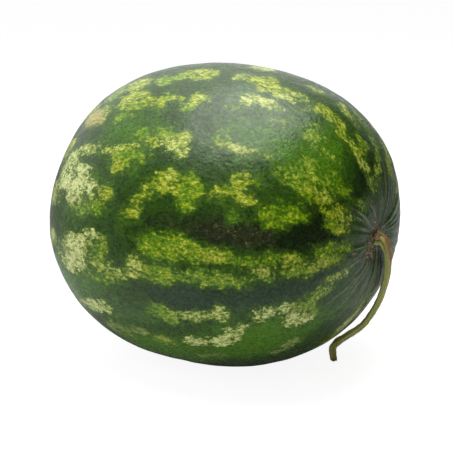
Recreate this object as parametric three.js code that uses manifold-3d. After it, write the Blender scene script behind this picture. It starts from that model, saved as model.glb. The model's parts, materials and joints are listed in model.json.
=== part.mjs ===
// A whole ripe watermelon with its dried stalk, lying on its side on a small flat spot.
// Millimetres, +Z up. +X points from the blossom end to the stalk end of the fruit.
// The origin lies on the surface that the fruit rests on, straight below its middle.

import * as THREE from "three";
import { mergeVertices } from "three/addons/utils/BufferGeometryUtils.js";
import Module from "manifold-3d";

const wasm = await Module();
wasm.setup();

// Fruit: an oval barrel whose outline is a superellipse, fuller than an ellipse.
const HALF_LENGTH = 141.5; // from the middle to each end, before the hollows at the ends
const MEAN_RADIUS = 125; // of the widest cross-section
const STALK_END_FULLNESS = 2.23; // exponent of the outline: 2 is an ellipse, more is boxier
const BLOSSOM_END_FULLNESS = 2.39;
const OVALITY = 0.048; // the cross-section is this share wider one way and narrower the other
const OVAL_LEAN = THREE.MathUtils.degToRad(22.5); // from upright to the narrow way, towards -Y
const STALK_END_TAPER = 0.011; // share by which the stalk end is slimmer and the other fuller
const END_RISE = 1.2; // the ends stand this much higher than the middle
const CENTRE_HEIGHT = 119.1; // of the middle above the ground: 2 mm are flattened away

const STALK_HOLLOW = { depth: 6, radius: 24 };
const BLOSSOM_HOLLOW = { depth: 1.6, radius: 9 };

const TOUCH_GAP = 0.3; // left open between pieces that touch

const FRUIT_SIDES = 72;
const FRUIT_ROWS = 44;

// Stalk: a dry five-ridged stem that leaves the stalk hollow, turns down and curls under.
const STALK_ROUTE = [
  [133, -0.5, 118], // a little under the skin: the foot is cut to fit the hollow
  [137, -1, 118],
  [141, -2, 117.5],
  [143, -1, 113.5],
  [143, 4, 105],
  [141.5, 8, 88],
  [137, 10, 70.5],
  [131, 12, 56.5],
  [121, 10.5, 40],
  [111, 2.5, 31.5],
  [106.5, -5.5, 28],
  [106, -13, 25],
  [111, -21.5, 19],
];
const STALK_RADIUS = 2.6;
const STALK_FOOT = { extraRadius: 4.7, length: 8 }; // the flare where the stalk meets the fruit
const STALK_SWELLING = { extraRadius: 0.35, at: 121, length: 12 }; // the thicker joint near the tip
const STALK_RIDGES = 5;
const RIDGE_SHARE = { foot: 0.14, along: 0.07 }; // ridge height as a share of the radius
const STALK_SIDES = 20;
const STALK_STEPS = 44;

// Fibre: a dry strand torn from the stalk, lying in the hollow beside its foot.
const FIBRE_ROUTE = [
  [137, 4, 124.5],
  [137.5, 8, 126.5],
  [138.5, 12, 128.5],
];
const FIBRE_RADIUS = 0.5;
const FIBRE_SIDES = 8;
const FIBRE_STEPS = 8;

// Point on the rind. ahead is the cosine of the angle from the stalk end and around its sine;
// turn runs from the top of the fruit over its -Y side.
function rindPoint(ahead, around, turn) {
  const fullness = ahead > 0 ? STALK_END_FULLNESS : BLOSSOM_END_FULLNESS;
  const along = Math.sign(ahead) * Math.abs(ahead) ** (2 / fullness);
  const oval = 1 - OVALITY * Math.cos(2 * (turn - OVAL_LEAN));
  const taper = 1 - STALK_END_TAPER * along;
  const radius = MEAN_RADIUS * around ** (2 / fullness) * oval * taper;
  const hollow = ahead > 0 ? STALK_HOLLOW : BLOSSOM_HOLLOW;
  const dip = Math.sign(ahead) * hollow.depth * Math.exp(-((radius / hollow.radius) ** 2));
  return new THREE.Vector3(
    HALF_LENGTH * along - dip,
    -radius * Math.sin(turn),
    CENTRE_HEIGHT + radius * Math.cos(turn) + END_RISE * along ** 2,
  );
}

// The closed rind before it is flattened: a sphere's grid, with its pole axis laid along X.
function rindGeometry() {
  const geometry = new THREE.SphereGeometry(1, FRUIT_SIDES, FRUIT_ROWS);
  const position = geometry.getAttribute("position");
  const unit = new THREE.Vector3();
  for (let i = 0; i < position.count; i += 1) {
    unit.fromBufferAttribute(position, i);
    const point = rindPoint(unit.y, Math.hypot(unit.x, unit.z), Math.atan2(-unit.z, unit.x));
    position.setXYZ(i, point.x, point.y, point.z);
  }
  return geometry;
}

// A closed geometry as a manifold-3d solid, with its shared vertices merged.
function solidFrom(geometry) {
  const bare = geometry.clone();
  bare.deleteAttribute("normal");
  bare.deleteAttribute("uv");
  const merged = mergeVertices(bare);
  return new wasm.Manifold(
    new wasm.Mesh({
      numProp: 3,
      vertProperties: merged.getAttribute("position").array,
      triVerts: new Uint32Array(merged.index.array),
    }),
  );
}

// A manifold-3d solid as a three.js geometry.
function geometryFrom(solid) {
  const mesh = solid.getMesh();
  const geometry = new THREE.BufferGeometry();
  geometry.setAttribute("position", new THREE.BufferAttribute(mesh.vertProperties, 3));
  geometry.setIndex(new THREE.BufferAttribute(mesh.triVerts, 1));
  geometry.computeVertexNormals();
  return geometry;
}

// The fruit: the rind with everything below the ground cut away, which leaves the flat spot.
function fruitSolid() {
  const room = 4 * HALF_LENGTH;
  const aboveGround = new THREE.BoxGeometry(room, room, room).translate(0, 0, room / 2);
  return solidFrom(rindGeometry()).intersect(solidFrom(aboveGround));
}

// A closed rod carried along a smooth curve through the route's points. radiusAt gives its
// radius from the distance along the curve, in millimetres, and the angle round the section.
function rodGeometry(route, radiusAt, sides, steps) {
  const points = route.map((point) => new THREE.Vector3(...point));
  const curve = new THREE.CatmullRomCurve3(points, false, "centripetal");
  const frames = curve.computeFrenetFrames(steps, false);
  const length = curve.getLength();
  const positions = [];
  const index = [];
  for (let step = 0; step <= steps; step += 1) {
    const centre = curve.getPointAt(step / steps);
    for (let side = 0; side < sides; side += 1) {
      const angle = (side / sides) * 2 * Math.PI;
      const radius = radiusAt((step / steps) * length, angle);
      const point = centre
        .clone()
        .addScaledVector(frames.normals[step], radius * Math.cos(angle))
        .addScaledVector(frames.binormals[step], radius * Math.sin(angle));
      positions.push(...point.toArray());
    }
  }
  const ringStart = (step) => step * sides;
  for (let step = 0; step < steps; step += 1) {
    for (let side = 0; side < sides; side += 1) {
      const next = (side + 1) % sides;
      const [a, b] = [ringStart(step) + side, ringStart(step) + next];
      const [c, d] = [ringStart(step + 1) + side, ringStart(step + 1) + next];
      index.push(a, b, d, a, d, c);
    }
  }
  const startCentre = positions.length / 3;
  positions.push(...curve.getPointAt(0).toArray(), ...curve.getPointAt(1).toArray());
  for (let side = 0; side < sides; side += 1) {
    const next = (side + 1) % sides;
    index.push(startCentre, next, side);
    index.push(startCentre + 1, ringStart(steps) + side, ringStart(steps) + next);
  }
  const geometry = new THREE.BufferGeometry();
  geometry.setAttribute("position", new THREE.Float32BufferAttribute(positions, 3));
  geometry.setIndex(index);
  geometry.computeVertexNormals();
  return geometry;
}

// The stalk's radius: slim along its length, flared at its foot, swollen at its joint, ridged.
function stalkRadius(distance, angle) {
  const foot = Math.exp(-distance / STALK_FOOT.length);
  const fromSwelling = (distance - STALK_SWELLING.at) / STALK_SWELLING.length;
  const swelling = STALK_SWELLING.extraRadius * Math.exp(-(fromSwelling ** 2));
  const ridge = RIDGE_SHARE.along + (RIDGE_SHARE.foot - RIDGE_SHARE.along) * foot;
  const mean = STALK_RADIUS + STALK_FOOT.extraRadius * foot + swelling;
  return mean * (1 + ridge * Math.cos(STALK_RIDGES * angle));
}

function namedMesh(name, geometry, color, roughness) {
  const material = new THREE.MeshStandardMaterial({ color, roughness, metalness: 0 });
  const mesh = new THREE.Mesh(geometry, material);
  mesh.name = name;
  return mesh;
}

const fruit = fruitSolid();
const rod = solidFrom(rodGeometry(STALK_ROUTE, stalkRadius, STALK_SIDES, STALK_STEPS));
const stalk = rod.subtract(fruit.translate([TOUCH_GAP, 0, 0]));
const fibre = rodGeometry(FIBRE_ROUTE, () => FIBRE_RADIUS, FIBRE_SIDES, FIBRE_STEPS);

const watermelon = new THREE.Group();
watermelon.add(namedMesh("fruit", geometryFrom(fruit), "#35622a", 0.42));
watermelon.add(namedMesh("stalk", geometryFrom(stalk), "#6d6c35", 0.7));
watermelon.add(namedMesh("stalk_fibre", fibre, "#8b8266", 0.85));

export default watermelon;
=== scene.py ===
"""A whole ripe watermelon with its dry stalk, on a plain pale floor.

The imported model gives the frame: where the fruit lies, how large it is and which way its
stalk points. This script makes the fine surfaces around it. Sizes inside the classes are in
millimetres and become metres where a mesh is made. Along the fruit, "tip" is the angle from
the stalk end (0 at the stalk, 180 at the blossom end) and "turn" the angle round it (0 on
top, 90 on the -Y side), both in degrees.
"""

import json
import logging
import math
from dataclasses import dataclass, field
from enum import Enum
from typing import Any, Dict, List, Optional, Sequence, Tuple

import bpy
import numpy as np
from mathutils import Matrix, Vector

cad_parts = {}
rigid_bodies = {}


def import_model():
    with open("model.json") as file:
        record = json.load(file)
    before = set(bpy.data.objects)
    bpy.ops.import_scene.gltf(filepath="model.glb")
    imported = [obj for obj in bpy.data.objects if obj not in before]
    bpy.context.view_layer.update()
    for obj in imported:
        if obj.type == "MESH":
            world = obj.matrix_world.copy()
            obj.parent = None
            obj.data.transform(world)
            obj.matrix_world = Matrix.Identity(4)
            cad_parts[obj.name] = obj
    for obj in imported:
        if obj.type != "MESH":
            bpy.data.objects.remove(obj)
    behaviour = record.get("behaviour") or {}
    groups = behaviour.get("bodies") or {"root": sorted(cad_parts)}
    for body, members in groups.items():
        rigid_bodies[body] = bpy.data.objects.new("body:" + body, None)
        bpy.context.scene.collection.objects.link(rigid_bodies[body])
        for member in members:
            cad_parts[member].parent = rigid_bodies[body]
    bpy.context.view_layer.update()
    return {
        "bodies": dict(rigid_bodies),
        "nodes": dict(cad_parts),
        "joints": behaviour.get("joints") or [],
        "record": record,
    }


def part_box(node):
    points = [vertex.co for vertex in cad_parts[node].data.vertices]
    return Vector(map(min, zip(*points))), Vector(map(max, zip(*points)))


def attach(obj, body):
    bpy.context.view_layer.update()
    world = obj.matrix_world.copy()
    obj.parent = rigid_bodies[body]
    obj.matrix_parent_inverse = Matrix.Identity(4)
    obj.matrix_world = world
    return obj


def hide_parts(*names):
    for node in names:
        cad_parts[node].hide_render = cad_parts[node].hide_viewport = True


log = logging.getLogger("watermelon")

MM = 0.001

Array = np.ndarray
Color = Tuple[float, float, float]


# ---------------------------------------------------------------- smooth noise and meshes


@dataclass(frozen=True)
class SoftNoise:
    """Smooth noise in space, about -1 to 1: a sum of plane waves of random directions.

    The wavelengths lie round the given one, and the seed fixes every random draw.
    """

    wavelength: float
    seed: int
    waves: int = 28

    def at(self, points: Array) -> Array:
        """Gives the noise at points.

        Args:
            points: positions in millimetres, with x, y, z on the last axis.

        Returns:
            One value for each point.
        """
        rng = np.random.default_rng(self.seed)
        directions = rng.normal(size=(3, self.waves))
        directions /= np.linalg.norm(directions, axis=0)
        lengths = self.wavelength * rng.uniform(0.7, 1.6, self.waves)
        phases = rng.uniform(0.0, 2 * np.pi, self.waves)
        waves = np.sin(points @ (2 * np.pi * directions / lengths) + phases)
        return waves.sum(axis=-1) / math.sqrt(self.waves / 2) / 1.6


def smooth_step(low: float, high: float, value: Array) -> Array:
    """Rises from 0 at low to 1 at high as 3s^2 - 2s^3."""
    share = np.clip((value - low) / (high - low), 0.0, 1.0)
    return share * share * (3 - 2 * share)


def unit(vectors: Array) -> Array:
    """Each vector divided by its own length."""
    return vectors / np.maximum(np.linalg.norm(vectors, axis=-1, keepdims=True), 1e-12)


def signed_volume(points: Array, triangles: Array) -> float:
    """The volume inside the triangles, negative if they face inwards."""
    a, b, c = (points[triangles[:, k]] for k in range(3))
    return float(np.einsum("ij,ij->i", a, np.cross(b, c)).sum() / 6)


@dataclass
class RingSurface:
    """A closed surface made of rings of points between two end points.

    Neighbouring rings are joined by quads, and each end point closes its ring with a fan.

    Attributes:
        rings: positions in millimetres, as rings by sides by 3.
        first: the end point before the first ring.
        last: the end point after the last ring.
        along: for each ring, how far along it is, from 0 to 1, for the UV map.
        fields: values for each vertex, by name; rings first, then the two end points.
    """

    rings: Array
    first: Array
    last: Array
    along: Array
    fields: Dict[str, Array] = field(default_factory=dict)

    def vertices(self) -> Array:
        """All positions: the rings in order, then the first and the last end point."""
        return np.vstack([self.rings.reshape(-1, 3), self.first, self.last])

    def quads(self) -> Array:
        """Vertex numbers of the quads between neighbouring rings.

        Returns:
            Four numbers for each quad.
        """
        count, sides = self.rings.shape[:2]
        ring, side = np.meshgrid(np.arange(count - 1), np.arange(sides), indexing="ij")
        here = ring * sides + side
        beside = ring * sides + (side + 1) % sides
        return np.stack([here, beside, beside + sides, here + sides], -1).reshape(-1, 4)

    def fans(self) -> Array:
        """Vertex numbers of the triangles that close the two ends.

        Returns:
            Three numbers for each triangle, the first end before the last.
        """
        count, sides = self.rings.shape[:2]
        side = np.arange(sides)
        beside = (side + 1) % sides
        top = np.stack([np.full(sides, count * sides), beside, side], -1)
        start = (count - 1) * sides
        foot = np.stack([np.full(sides, count * sides + 1), start + side, start + beside], -1)
        return np.vstack([top, foot])

    def corner_uvs(self) -> Tuple[Array, Array]:
        """The UV of each quad corner and of each fan corner: round the ring by along.

        Returns:
            The quads' corners, then the fans' corners, two numbers each.
        """
        count, sides = self.rings.shape[:2]
        ring, side = np.meshgrid(np.arange(count - 1), np.arange(sides), indexing="ij")
        ring, side = ring.ravel(), side.ravel()
        across = np.stack([side, side + 1, side + 1, side], -1) / sides
        up = self.along[np.stack([ring, ring, ring + 1, ring + 1], -1)]
        side = np.arange(sides)
        low = np.stack([side + 0.5, side + 1, side], -1) / sides
        low_up = np.stack([np.zeros(sides)] + [np.full(sides, self.along[0])] * 2, -1)
        high = np.stack([side + 0.5, side, side + 1], -1) / sides
        high_up = np.stack([np.ones(sides)] + [np.full(sides, self.along[-1])] * 2, -1)
        fan = np.stack([np.vstack([low, high]), np.vstack([low_up, high_up])], -1)
        return np.stack([across, up], -1).reshape(-1, 2), fan.reshape(-1, 2)

    def make(self, name: str) -> bpy.types.Object:
        """Puts the surface into a new mesh object at the origin, facing outwards.

        Args:
            name: the piece's name.

        Returns:
            The new object, linked to the scene, with smooth faces and a full UV map.
        """
        points, quads, fans = self.vertices(), self.quads(), self.fans()
        quad_uv, fan_uv = self.corner_uvs()
        triangles = np.vstack([quads[:, [0, 1, 2]], quads[:, [0, 2, 3]], fans])
        if signed_volume(points, triangles) < 0:
            quads, fans = quads[:, ::-1], fans[:, ::-1]
            quad_uv = quad_uv.reshape(-1, 4, 2)[:, ::-1].reshape(-1, 2)
            fan_uv = fan_uv.reshape(-1, 3, 2)[:, ::-1].reshape(-1, 2)
        corners = np.concatenate([quads.ravel(), fans.ravel()])
        starts = np.concatenate(
            [np.arange(len(quads)) * 4, len(quads) * 4 + np.arange(len(fans)) * 3]
        )
        mesh = bpy.data.meshes.new(name)
        mesh.vertices.add(len(points))
        mesh.vertices.foreach_set("co", (points * MM).ravel())
        mesh.loops.add(len(corners))
        mesh.loops.foreach_set("vertex_index", corners.astype(np.int32))
        mesh.polygons.add(len(starts))
        mesh.polygons.foreach_set("loop_start", starts.astype(np.int32))
        mesh.polygons.foreach_set("use_smooth", np.ones(len(starts), dtype=bool))
        mesh.update(calc_edges=True)
        layer = mesh.uv_layers.new(name="OFBake")
        layer.data.foreach_set("uv", np.vstack([quad_uv, fan_uv]).ravel())
        for key, values in self.fields.items():
            add_field(mesh, key, values)
        mesh.validate()
        piece = bpy.data.objects.new(name, mesh)
        bpy.context.collection.objects.link(piece)
        return piece


def add_field(mesh: bpy.types.Mesh, name: str, values: Array) -> None:
    """Stores one number or three numbers for each vertex, as an attribute that nodes read.

    Args:
        mesh: the mesh.
        name: the attribute's name.
        values: one value, or three, for each vertex.
    """
    if values.ndim == 1:
        layer = mesh.attributes.new(name, "FLOAT", "POINT")
        layer.data.foreach_set("value", values.astype(np.float32))
    else:
        layer = mesh.attributes.new(name, "FLOAT_VECTOR", "POINT")
        layer.data.foreach_set("vector", values.astype(np.float32).ravel())


def smooth_route(points: Sequence[Sequence[float]], count: int) -> Tuple[Array, Array]:
    """A smooth curve through a route's points, evenly spaced, with the distance along it.

    Each stretch is a cubic whose end slopes are those of a centripetal Catmull-Rom curve:
    the slope at a point blends the chords on its two sides by the square roots of their
    lengths.

    Args:
        points: the route, in millimetres.
        count: how many evenly spaced points to return.

    Returns:
        The points, and each one's distance from the start.
    """
    route = np.asarray(points, float)
    route = np.vstack([2 * route[0] - route[1], route, 2 * route[-1] - route[-2]])
    knots = np.sqrt(np.linalg.norm(np.diff(route, axis=0), axis=1))[:, None]
    before, here, after = knots[:-2], knots[1:-1], knots[2:]
    p0, p1, p2, p3 = route[:-3], route[1:-2], route[2:-1], route[3:]
    leave = (p1 - p0) / before - (p2 - p0) / (before + here) + (p2 - p1) / here
    arrive = (p2 - p1) / here - (p3 - p1) / (here + after) + (p3 - p2) / after
    leave, arrive = leave * here, arrive * here
    s = np.linspace(0, 1, 40, endpoint=False)[None, :, None]
    p1, p2, leave, arrive = (part[:, None] for part in (p1, p2, leave, arrive))
    curve = p1 * (2 * s**3 - 3 * s**2 + 1) + p2 * (3 * s**2 - 2 * s**3)
    curve = curve + leave * (s**3 - 2 * s**2 + s) + arrive * (s**3 - s**2)
    dense = np.vstack([curve.reshape(-1, 3), route[-2]])
    run = np.concatenate([[0], np.cumsum(np.linalg.norm(np.diff(dense, axis=0), axis=1))])
    even = np.linspace(0, run[-1], count)
    return np.stack([np.interp(even, run, dense[:, k]) for k in range(3)], -1), even


def rod_rings(path: Array, radius: Array, across: Array) -> Array:
    """Rings carried along a path.

    Each ring lies square to the path. Its first direction is the given across direction with
    the part along the path taken out, and its second is square to both.

    Args:
        path: the middle of each ring.
        radius: the radius for each ring and side.
        across: a direction that is never along the path.

    Returns:
        Positions, as rings by sides by 3.
    """
    ahead = unit(np.gradient(path, axis=0))
    first = unit(across - (ahead @ across)[:, None] * ahead)
    second = np.cross(ahead, first)
    angle = np.linspace(0, 2 * np.pi, radius.shape[1], endpoint=False)
    spokes = (
        first[:, None] * np.cos(angle)[None, :, None]
        + second[:, None] * np.sin(angle)[None, :, None]
    )
    return path[:, None] + spokes * radius[..., None]


# ---------------------------------------------------------------- shader building blocks


class Graph:
    """A node tree with short ways to add and join the nodes that the finishes use."""

    def __init__(self, tree: bpy.types.NodeTree) -> None:
        """Keeps the tree that nodes are added to."""
        self.tree = tree

    def node(self, kind: str, **settings: Any) -> bpy.types.Node:
        """Adds a node of one kind and sets its properties.

        Args:
            kind: the node's type.
            settings: the properties, by name.

        Returns:
            The new node.
        """
        made = self.tree.nodes.new(kind)
        for key, value in settings.items():
            setattr(made, key, value)
        return made

    def feed(self, socket: bpy.types.NodeSocket, value: Any) -> None:
        """Joins an output to an input socket, or sets the socket's own value.

        Args:
            socket: the input.
            value: an output socket, a colour of three numbers, or a number.
        """
        if isinstance(value, bpy.types.NodeSocket):
            self.tree.links.new(value, socket)
        elif isinstance(value, tuple) and len(value) == 3 and socket.type == "RGBA":
            socket.default_value = (*value, 1.0)
        else:
            socket.default_value = value

    def math(self, operation: str, a: Any, b: Any) -> Any:
        """One math operation on two numbers.

        Args:
            operation: the node's operation.
            a: the first number, or a socket that gives it.
            b: the second.

        Returns:
            The socket of the result.
        """
        made = self.node("ShaderNodeMath", operation=operation)
        self.feed(made.inputs[0], a)
        self.feed(made.inputs[1], b)
        return made.outputs[0]

    def add(self, a: Any, b: Any) -> Any:
        """The sum of two numbers."""
        return self.math("ADD", a, b)

    def times(self, a: Any, b: Any) -> Any:
        """The product of two numbers."""
        return self.math("MULTIPLY", a, b)

    def centred(self, value: Any, size: Any) -> Any:
        """A 0 to 1 pattern turned into one round zero, of the given size each way."""
        return self.times(self.math("SUBTRACT", value, 0.5), size)

    def step(self, value: Any, low: float, high: float) -> Any:
        """A smooth step of a number, from 0 at low to 1 at high.

        Args:
            value: the number.
            low: where the step starts.
            high: where it ends.

        Returns:
            The socket of the result.
        """
        made = self.node("ShaderNodeMapRange", interpolation_type="SMOOTHSTEP")
        self.feed(made.inputs["Value"], value)
        made.inputs["From Min"].default_value = low
        made.inputs["From Max"].default_value = high
        return made.outputs["Result"]

    def mix(self, share: Any, a: Any, b: Any, blend: str = "MIX") -> Any:
        """Blends colour a into colour b by share.

        Args:
            share: how much of b, from 0 to 1.
            a: the first colour.
            b: the second.
            blend: how they are blended.

        Returns:
            The socket of the colour.
        """
        made = self.node("ShaderNodeMix", data_type="RGBA", blend_type=blend)
        self.feed(made.inputs[0], share)
        self.feed(made.inputs[6], a)
        self.feed(made.inputs[7], b)
        return made.outputs[2]

    def noise(self, vector: Any, scale: Any, detail: float = 4.0, rough: float = 0.55) -> Any:
        """Fractal noise from 0 to 1.

        Args:
            vector: where to read the noise.
            scale: its scale.
            detail: its octaves.
            rough: how strong its finer octaves are.

        Returns:
            The socket of the noise.
        """
        made = self.node("ShaderNodeTexNoise")
        self.feed(made.inputs["Vector"], vector)
        self.feed(made.inputs["Scale"], scale)
        made.inputs["Detail"].default_value = detail
        made.inputs["Roughness"].default_value = rough
        return made.outputs[0]

    def cells(self, vector: Any, scale: Any, feature: str = "F1") -> Any:
        """The distance to the nearest of scattered cell centres, or to the cells' edges.

        Args:
            vector: where to read the pattern.
            scale: how many cells there are to a unit.
            feature: which distance is measured.

        Returns:
            The socket of the distance.
        """
        made = self.node("ShaderNodeTexVoronoi", feature=feature)
        self.feed(made.inputs["Vector"], vector)
        self.feed(made.inputs["Scale"], scale)
        return made.outputs["Distance"]

    def stretch(self, vector: Any, scale: Tuple[float, float, float]) -> Any:
        """A vector scaled along each axis.

        Args:
            vector: the vector.
            scale: its factor along each axis.

        Returns:
            The socket of the vector.
        """
        made = self.node("ShaderNodeMapping")
        self.feed(made.inputs["Vector"], vector)
        made.inputs["Scale"].default_value = scale
        return made.outputs["Vector"]

    def place(self) -> Any:
        """Object coordinates, in metres."""
        return self.node("ShaderNodeTexCoord").outputs["Object"]

    def value(self, name: str) -> Any:
        """A vertex attribute as a number."""
        return self.node("ShaderNodeAttribute", attribute_name=name).outputs["Fac"]

    def vector(self, name: str) -> Any:
        """A vertex attribute as a vector."""
        return self.node("ShaderNodeAttribute", attribute_name=name).outputs["Vector"]

    def bump(self, height: Any, distance: float) -> Any:
        """A normal tilted by a height pattern.

        Args:
            height: the pattern.
            distance: the depth of a height of 1, in metres.

        Returns:
            The socket of the normal.
        """
        made = self.node("ShaderNodeBump")
        made.inputs["Strength"].default_value = 1.0
        made.inputs["Distance"].default_value = distance
        self.feed(made.inputs["Height"], height)
        return made.outputs["Normal"]

    def place_group(self, group: bpy.types.NodeTree, **values: Any) -> bpy.types.Node:
        """Places a node group.

        Args:
            group: the group.
            values: what each of its inputs gets, by the input's name.

        Returns:
            The group's node.
        """
        made = self.node("ShaderNodeGroup", node_tree=group)
        for key, value in values.items():
            self.feed(made.inputs[key], value)
        return made


class Socket(Enum):
    """Kinds of node group socket."""

    NUMBER = "NodeSocketFloat"
    VECTOR = "NodeSocketVector"
    COLOR = "NodeSocketColor"


def start_group(
    name: str, inputs: Dict[str, Socket], outputs: Dict[str, Socket]
) -> Tuple[Graph, bpy.types.Node, bpy.types.Node]:
    """Starts a shader node group with named inputs and outputs.

    Args:
        name: the group's name.
        inputs: each input's name and kind.
        outputs: each output's name and kind.

    Returns:
        The group's graph, its input node and its output node.
    """
    tree = bpy.data.node_groups.new(name, "ShaderNodeTree")
    for key, kind in inputs.items():
        tree.interface.new_socket(name=key, in_out="INPUT", socket_type=kind.value)
    for key, kind in outputs.items():
        tree.interface.new_socket(name=key, in_out="OUTPUT", socket_type=kind.value)
    graph = Graph(tree)
    return graph, graph.node("NodeGroupInput"), graph.node("NodeGroupOutput")


class Effects:
    """The shader node groups that the finishes place, each built once."""

    def __init__(self) -> None:
        """Builds the groups."""
        self.mottle = self.build_mottle()
        self.film = self.build_film()
        self.fibres = self.build_fibres()

    @staticmethod
    def build_mottle() -> bpy.types.NodeTree:
        """Broken, coral-like patches where Cover is high.

        Cover is in millimetres: how deep inside a patch a point lies, negative outside. Halo
        is the patch with a wide soft edge and Body the patch with a frayed edge, moved to and
        fro by about Fray and pitted with fine holes. Vein and Heart are a fine network that
        closes up as Cover and Closeness grow. Crumb is the finest grain by itself.

        Returns:
            The group.
        """
        graph, given, out = start_group(
            "Mottle",
            {
                "Place": Socket.VECTOR,
                "Cover": Socket.NUMBER,
                "Closeness": Socket.NUMBER,
                "Fray": Socket.NUMBER,
                "Scale": Socket.NUMBER,
            },
            {
                "Halo": Socket.NUMBER,
                "Body": Socket.NUMBER,
                "Vein": Socket.NUMBER,
                "Heart": Socket.NUMBER,
                "Crumb": Socket.NUMBER,
            },
        )
        place, scale = given.outputs["Place"], given.outputs["Scale"]
        cover, fray = given.outputs["Cover"], given.outputs["Fray"]
        coarse = graph.centred(graph.noise(place, graph.times(scale, 0.25), 2.0), 8.0)
        net = graph.centred(graph.noise(place, scale, 2.0), 7.0)
        fine = graph.centred(graph.noise(place, graph.times(scale, 2.1), 2.0), 6.0)
        edge = graph.add(graph.add(coarse, graph.times(net, 0.7)), graph.times(fine, 0.7))
        patch = graph.add(graph.add(cover, 0.8), graph.times(edge, fray))
        lace = graph.add(graph.times(net, 1.5), graph.times(fine, 1.6))
        lace = graph.add(lace, graph.times(coarse, 0.5))
        closed = graph.add(graph.times(patch, 0.4), lace)
        closed = graph.add(closed, given.outputs["Closeness"])
        crumb = graph.step(graph.add(fine, graph.times(net, 0.6)), -1.2, 0.8)
        body = graph.step(patch, -1.5, 1.2)
        pits = graph.step(graph.add(graph.times(coarse, 0.8), graph.add(net, fine)), -1.7, 0.6)
        pitted = graph.times(body, graph.add(0.18, graph.times(pits, 0.82)))
        graph.feed(out.inputs["Halo"], graph.step(patch, -6.0, 0.5))
        graph.feed(out.inputs["Body"], pitted)
        graph.feed(out.inputs["Vein"], graph.times(body, graph.step(closed, 0.0, 3.2)))
        graph.feed(out.inputs["Heart"], graph.times(body, graph.step(closed, 2.2, 5.4)))
        graph.feed(out.inputs["Crumb"], crumb)
        return graph.tree

    @staticmethod
    def build_film() -> bpy.types.NodeTree:
        """A broken film of Tint over Color, thickest where Amount is high.

        Returns:
            The group.
        """
        graph, given, out = start_group(
            "Film",
            {
                "Place": Socket.VECTOR,
                "Color": Socket.COLOR,
                "Tint": Socket.COLOR,
                "Amount": Socket.NUMBER,
                "Scale": Socket.NUMBER,
            },
            {"Color": Socket.COLOR},
        )
        noise = graph.noise(given.outputs["Place"], given.outputs["Scale"], 5.0, 0.6)
        film = graph.times(given.outputs["Amount"], graph.step(noise, 0.25, 0.75))
        mixed = graph.mix(film, given.outputs["Color"], given.outputs["Tint"])
        graph.feed(out.inputs["Color"], mixed)
        return graph.tree

    @staticmethod
    def build_fibres() -> bpy.types.NodeTree:
        """Fine streaks: noise on a vector that is stretched along the streaks.

        Returns:
            The group, with a sharp Streak and a soft Ridge.
        """
        graph, given, out = start_group(
            "Fibres",
            {"Stretched": Socket.VECTOR, "Scale": Socket.NUMBER},
            {"Streak": Socket.NUMBER, "Ridge": Socket.NUMBER},
        )
        vector, scale = given.outputs["Stretched"], given.outputs["Scale"]
        broad = graph.noise(vector, scale, 2.0, 0.5)
        thin = graph.noise(vector, graph.times(scale, 3.1), 3.0, 0.6)
        both = graph.add(graph.times(broad, 0.6), graph.times(thin, 0.4))
        graph.feed(out.inputs["Streak"], graph.step(both, 0.32, 0.68))
        graph.feed(out.inputs["Ridge"], both)
        return graph.tree


def start_material(name: str) -> Tuple[bpy.types.Material, Graph, bpy.types.Node]:
    """A new material with its own graph and the shader that ends it.

    Args:
        name: the material's name.

    Returns:
        The material, its graph and its shader.
    """
    material = bpy.data.materials.new(name)
    material.use_nodes = True
    graph = Graph(material.node_tree)
    return material, graph, material.node_tree.nodes["Principled BSDF"]


# ---------------------------------------------------------------- the fruit


class Tint(Enum):
    """Kinds of blotch: how solid each is, how closed its network, and how creamy or peachy."""

    SPECK = (0.22, -0.7, 0.2, 0.0)
    FAINT = (0.26, -1.2, 0.8, 0.0)
    LIME = (0.62, -0.7, 0.0, 0.0)
    YELLOW = (0.84, 0.35, 0.1, 0.0)
    PALE = (0.84, 0.9, 0.5, 0.0)
    CREAM = (1.0, 2.0, 1.0, 0.0)
    BLUSH = (0.80, 0.2, 0.6, 1.0)


@dataclass(frozen=True)
class Spot:
    """A place on the rind.

    Attributes:
        turn: place round the fruit, in degrees.
        tip: place along the fruit, in degrees.
        wide: half its size round the fruit, in millimetres.
        long: half its size along the fruit, in millimetres.
        lean: its turn from along the fruit, in degrees.
    """

    turn: float
    tip: float
    wide: float
    long: float
    lean: float = 0.0


@dataclass(frozen=True, kw_only=True)
class Blotch(Spot):
    """One pale blotch of the rind, of one kind."""

    tint: Tint


@dataclass(frozen=True, kw_only=True)
class Shade(Spot):
    """A soft change of the green between the stripes.

    Attributes:
        tone: how much lighter, or darker if negative.
        cool: how much bluer and greyer, or yellower if negative.
        scuff: how brown and scratched.
    """

    tone: float
    cool: float = 0.0
    scuff: float = 0.0


def blotches(tint: Tint, *rows: Tuple[float, ...]) -> List[Blotch]:
    """Blotches of one tint, each given as turn, tip, wide and long, and lean if it leans."""
    return [Blotch(*row, tint=tint) for row in rows]


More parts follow.
